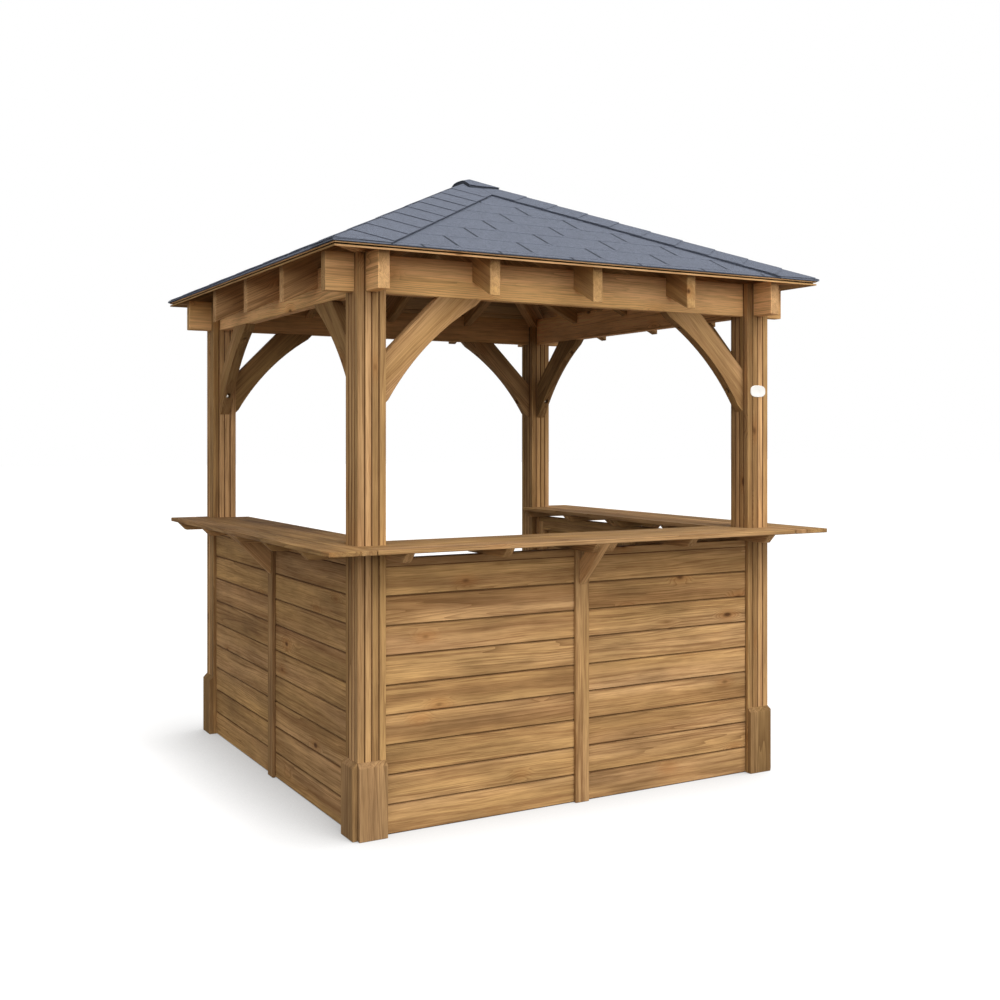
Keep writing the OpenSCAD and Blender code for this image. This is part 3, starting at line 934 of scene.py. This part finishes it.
class GAZEBO_OT_walls(bpy.types.Operator):
    """Horizontal wall boards, the frames behind them and the battens over their middle joint."""

    bl_idname = "gazebo.walls"
    bl_label = "Walls"

    def execute(self, context):
        sizes = context.scene.gazebo_sizes
        cover, vee, stud, back = BOARD_TOP / sizes.board_count, sizes.board_vee, sizes.stud, -FRAME_BACK
        gap, small, joint, frame_arris = 0.0004, 0.0012, 0.0005, sizes.arris * 0.7
        outline = [
            (-BOARD_BACK - small, gap), (-BOARD_FACE + vee, gap), (-BOARD_FACE, gap + vee),
            (-BOARD_FACE, cover - gap - vee), (-BOARD_FACE + vee, cover - gap),
            (-BOARD_BACK - small, cover - gap), (-BOARD_BACK, cover - gap - small),
            (-BOARD_BACK, gap + small),
        ]
        tree, material = repeat_tree(), timber("wall_boards", 1.02, vivid=1.25, joints=cover)
        for side in WALL_SIDES:
            pile, word = Stack(1), SIDES[side]
            boards = opened(grown(
                grainy(prism(outline, sizes.board_gap - BAY, -joint), ALONG), tree, columns=2,
                rows=sizes.board_count, column_step=(BAY - sizes.board_gap + joint, 0, 0),
                row_step=(0, 0, cover), jitter=(0.0003, 0.0004, 0), seed=150 + side, material=material,
            ))
            pile.add_grown(moved(boards, side_turn(side)))
            data = pile.data("boards")
            finish_piece(f"wall_{word}_boards", data, "wall_boards", material, "wall_boards_" + word)
        slot, material = "wall_frame_timber", timber("wall_frame_timber", 0.98)
        for side in WALL_SIDES:
            pile, turn, word = Stack(170 + side), side_turn(side), SIDES[side]
            bars = [(block(-BAY, BAY, -BOARD_FACE, back, BOARD_TOP, WALL_TOP), ALONG)]
            for x0, x1 in ((-BAY, 0), (0, BAY)):
                for x in (x0, x1 - stud):
                    bars.append((block(x, x + stud, -BOARD_BACK, back, 0, BOARD_TOP), UP))
                for z in (0, BOARD_TOP - stud):
                    bars.append((block(x0 + stud, x1 - stud, -BOARD_BACK, back, z, z + stud), ALONG))
            for bar, along in bars:
                pile.add(moved(bar, turn), turn.to_3x3() @ along, frame_arris)
            finish_piece(f"wall_{word}_frame", pile.data("frame"), slot, material, "wall_frame_" + word)
        battens = timber("batten_timber", 0.78, vivid=1.4)
        dress_nodes(["wall_battens"], slot, battens, 181, sizes.arris, UP)
        return {"FINISHED"}


class GAZEBO_OT_counters(bpy.types.Operator):
    """Counter boards, the bearers under them and the struts to the battens.

    The side counters run through to the front, and the front one butts on them."""

    bl_idname = "gazebo.counters"
    bl_label = "Counters"

    def execute(self, context):
        sizes = context.scene.gazebo_sizes
        material = timber("counter_timber", 0.80, vivid=1.2)
        inner = -COUNTER_HIGH.y
        wide = (-COUNTER_LOW.y - inner) / sizes.counter_boards
        gap, front_end, side_end = 0.0006, POST_FACE - 0.0030, POST_FACE + 0.0003
        for side in WALL_SIDES:
            pile, turn, word = Stack(200 + side), side_turn(side).to_3x3(), SIDES[side]
            way = turn @ Vector((0, -1, 0))
            for k in range(sizes.counter_boards):
                solid = solids_of("counter_" + word)[0]
                if word == "front":
                    for hand in (-1, 1):
                        cut(solid, (hand * front_end, 0, 0), (hand, 0, 0))
                else:
                    hand = 1 if word == "right" else -1
                    corner = solids_of("counter_front")[0]
                    cut(corner, (hand * side_end, 0, 0), (-hand, 0, 0))
                    solid = joined(solid, corner, Vector((1, hand, 0)).normalized())
                cut(solid, way * (inner + (k + 1) * wide - gap), way)
                cut(solid, way * (inner + k * wide + gap), -way)
                pile.add(solid, turn @ ALONG, sizes.arris)
            data = pile.data("counter")
            finish_piece(f"counter_{word}_boards", data, "counter_timber", material, "counter_" + word)
        bearers = timber("bearer_timber")
        dress_nodes(["bearers_" + SIDES[s] for s in WALL_SIDES], "bearer_timber", bearers, 211, sizes.arris)
        dress_nodes(["counter_struts"], "bearer_timber", bearers, 221, sizes.arris)
        return {"FINISHED"}


class GAZEBO_OT_fittings(bpy.types.Operator):
    """Bolt heads in the braces and the blank oval plate on the front right post."""

    bl_idname = "gazebo.fittings"
    bl_label = "Bolts and plate"

    def execute(self, context):
        sizes = context.scene.gazebo_sizes
        # Washer, nut and bolt end, as shares of the washer's radius and heights
        profile = (
            (1.0, 0), (1.0, 0.0020), (0.82, 0.0022), (0.82, 0.0120), (0.70, 0.0136),
            (0.48, 0.0138), (0.48, 0.0190), (0.40, 0.0205),
        )
        head = skinned(*(
            [(sizes.bolt_head * share * x, sizes.bolt_head * share * y, height) for x, y in around(18)]
            for share, height in profile
        ))
        holder = placed("bolt_shape", meshed("bolt_shape", head))
        points = bmesh.new()
        aim = points.verts.layers.float_vector.new("aim")
        for side in range(4):
            for hand in (Matrix.Identity(4), FLIP):
                turn = side_turn(side) @ hand
                for place, way in (
                    ((sizes.bolt_seat - BAY, -HALF, BEAM_UNDER - sizes.bolt_at), ALONG),
                    ((sizes.bolt_at - BAY, -HALF, BEAM_UNDER - sizes.bolt_seat), -UP),
                ):
                    point = points.verts.new(turn @ Vector(place))
                    point[aim] = turn.to_3x3() @ way
        material = plated("bolt_zinc")
        bolts = grown(meshed("bolt_places", points), heads_tree(), fitting=holder, material=material)
        bpy.data.objects.remove(holder)
        finish_piece("brace_bolts", bolts, "brace_timber", material)

        # Insets and heights from the plate's back over its raised rim to its face
        steps = ((0, 0), (0, 0.0016), (0.0012, 0.0026), (0.004, 0.0026), (0.006, 0.0021))
        fullness, rings = 0.72, []
        oval = [[math.copysign(abs(c) ** fullness, c) for c in spot] for spot in around(40)]
        for inset, height in steps:
            wide, tall = sizes.plate_width / 2 - inset, sizes.plate_height / 2 - inset
            y = -POST_FACE - height
            rings.append([(HALF + x * wide, y, sizes.plate_at + z * tall) for x, z in oval])
        plate = meshed("plate", skinned(*rings))
        finish_piece("blank_plate", plate, "post_timber", enamel("plate_enamel"))
        return {"FINISHED"}


def pale_rays(start):
    """1 on the rays that show the stage, and 0 on those that only light the gazebo."""
    camera = start.node("ShaderNodeLightPath", None, None, "Is Camera Ray")
    return camera + camera.beside("Is Glossy Ray") + camera.beside("Is Transmission Ray")


def floor_paint(name):
    """Pale ground with a soft shade round the gazebo. It throws little light back."""
    made, start = blank(name)
    shown = pale_rays(start)
    ground = (*(c * 0.28 for c in bpy.context.scene.gazebo_colours.ground), 1.0)
    pale = start.node("ShaderNodeBsdfDiffuse", None, {"Color": ground})
    # Painted shade: the floor's glow is dimmed by occlusion round the gazebo, leaned towards +X so that the
    # shade lies mostly on the left
    lean = start.node("ShaderNodeCombineXYZ", None, {0: 0.55, 1: -0.12, 2: 0.82})
    reach = {"Distance": 0.42, "Normal": lean}
    open_air = start.node("ShaderNodeAmbientOcclusion", {"samples": 8}, reach, "AO")
    white = {"Color": (1, 1, 1, 1), "Strength": open_air * 0.64 + 0.25}
    glow = start.node("ShaderNodeEmission", None, white)
    lit = start.node("ShaderNodeAddShader", None, {0: pale, 1: glow})
    dim = start.node("ShaderNodeBsdfDiffuse", None, {"Color": (0.17, 0.165, 0.16, 1)})
    mixed = start.node("ShaderNodeMixShader", None, {0: shown, 1: dim, 2: lit})
    start.node("ShaderNodeOutputMaterial", None, {"Surface": mixed})
    return made


def light_world(world):
    """White backdrop, and a warm sky that is stronger low on the left and in front."""
    world.use_nodes = True
    world.node_tree.nodes.clear()
    start = Wire(world.node_tree)
    shown = pale_rays(start)
    way = start.node("ShaderNodeTexCoord", None, None, "Generated")
    x, y, z = (way.part(axis) for axis in range(3))
    level = (z.ease(-0.1, 1.0) * 0.62 + 0.22) * (1.0 - y.ease(-0.3, 0.8) * 0.65)
    left_belt = z.ease(-0.1, 0.2) * (1.0 - z.ease(0.35, 0.75))
    level = level * (x.ease(0.1, -0.7) * left_belt * 1.4 + 1.0)
    front_belt = z.ease(-0.1, 0.1) * (1.0 - z.ease(0.15, 0.55))
    level = level + y.ease(-0.2, -0.9) * front_belt * 1.9
    sky = start.node("ShaderNodeBackground", None, {"Color": (1.0, 0.965, 0.92, 1), "Strength": level})
    white = start.node("ShaderNodeBackground", None, {"Color": (1, 1, 1, 1), "Strength": 1.0})
    mixed = start.node("ShaderNodeMixShader", None, {0: shown, 1: sky, 2: white})
    start.node("ShaderNodeOutputWorld", None, {"Surface": mixed})


class GAZEBO_OT_stage(bpy.types.Operator):
    """Pale floor, soft light and the camera."""

    bl_idname = "gazebo.stage"
    bl_label = "Stage"

    def execute(self, context):
        scene = context.scene
        scene.view_settings.view_transform = "Standard"
        wide, below = 60.0, 0.0005
        data = bpy.data.meshes.new("stage_floor")
        square = [(-wide, -wide, 0), (wide, -wide, 0), (wide, wide, 0), (-wide, wide, 0)]
        data.from_pydata(square, [], [(0, 1, 2, 3)])
        data.materials.append(floor_paint("stage_floor"))
        floor = placed("stage_floor", data)
        floor.location.z = -below

        scene.world = scene.world or bpy.data.worlds.new("studio")
        light_world(scene.world)

        key = bpy.data.lights.new("key", "SUN")
        key.energy, key.angle, key.color = 2.1, math.radians(36), (1.0, 0.985, 0.96)
        shine = Vector((-0.139, 0.655, -0.743))
        placed("key", key).rotation_euler = shine.to_track_quat("-Z", "Y").to_euler()

        lens = bpy.data.cameras.new("camera")
        lens.sensor_width, lens.lens, lens.shift_y = 36.0, 43.532, -0.06178
        lens.clip_end = 200.0
        camera = placed("camera", lens)
        camera.location = (-2.725, -5.1408, 1.490)
        camera.rotation_euler = (math.pi / 2, 0, math.radians(-29.389))
        scene.camera = camera
        return {"FINISHED"}


OPERATORS = (
    GAZEBO_OT_stage, GAZEBO_OT_posts, GAZEBO_OT_roof_frame, GAZEBO_OT_roof_boards, GAZEBO_OT_shingles,
    GAZEBO_OT_caps, GAZEBO_OT_walls, GAZEBO_OT_counters, GAZEBO_OT_fittings,
)


class GAZEBO_PT_panel(bpy.types.Panel):
    """Lists the gazebo's operators, sizes and colours."""

    bl_label = "Garden bar gazebo"
    bl_idname = "GAZEBO_PT_panel"
    bl_space_type = "VIEW_3D"
    bl_region_type = "UI"
    bl_category = "Gazebo"

    def draw(self, context):
        for operator in OPERATORS:
            self.layout.operator(operator.bl_idname)
        for group in (context.scene.gazebo_sizes, context.scene.gazebo_colours):
            column = self.layout.column()
            for name in group.__annotations__:
                column.prop(group, name)


CLASSES = (GazeboSizes, GazeboColours, *OPERATORS, GAZEBO_PT_panel)


def register():
    for item in CLASSES:
        bpy.utils.register_class(item)
    bpy.types.Scene.gazebo_sizes = PointerProperty(type=GazeboSizes)
    bpy.types.Scene.gazebo_colours = PointerProperty(type=GazeboColours)


def unregister():
    del bpy.types.Scene.gazebo_sizes, bpy.types.Scene.gazebo_colours
    for item in reversed(CLASSES):
        bpy.utils.unregister_class(item)


def main():
    register()
    bpy.ops.gazebo.stage()
    bpy.ops.gazebo.posts()
    bpy.ops.gazebo.roof_frame()
    bpy.ops.gazebo.roof_boards()
    bpy.ops.gazebo.shingles()
    bpy.ops.gazebo.caps()
    bpy.ops.gazebo.walls()
    bpy.ops.gazebo.counters()
    bpy.ops.gazebo.fittings()


if __name__ == "__main__":
    main()
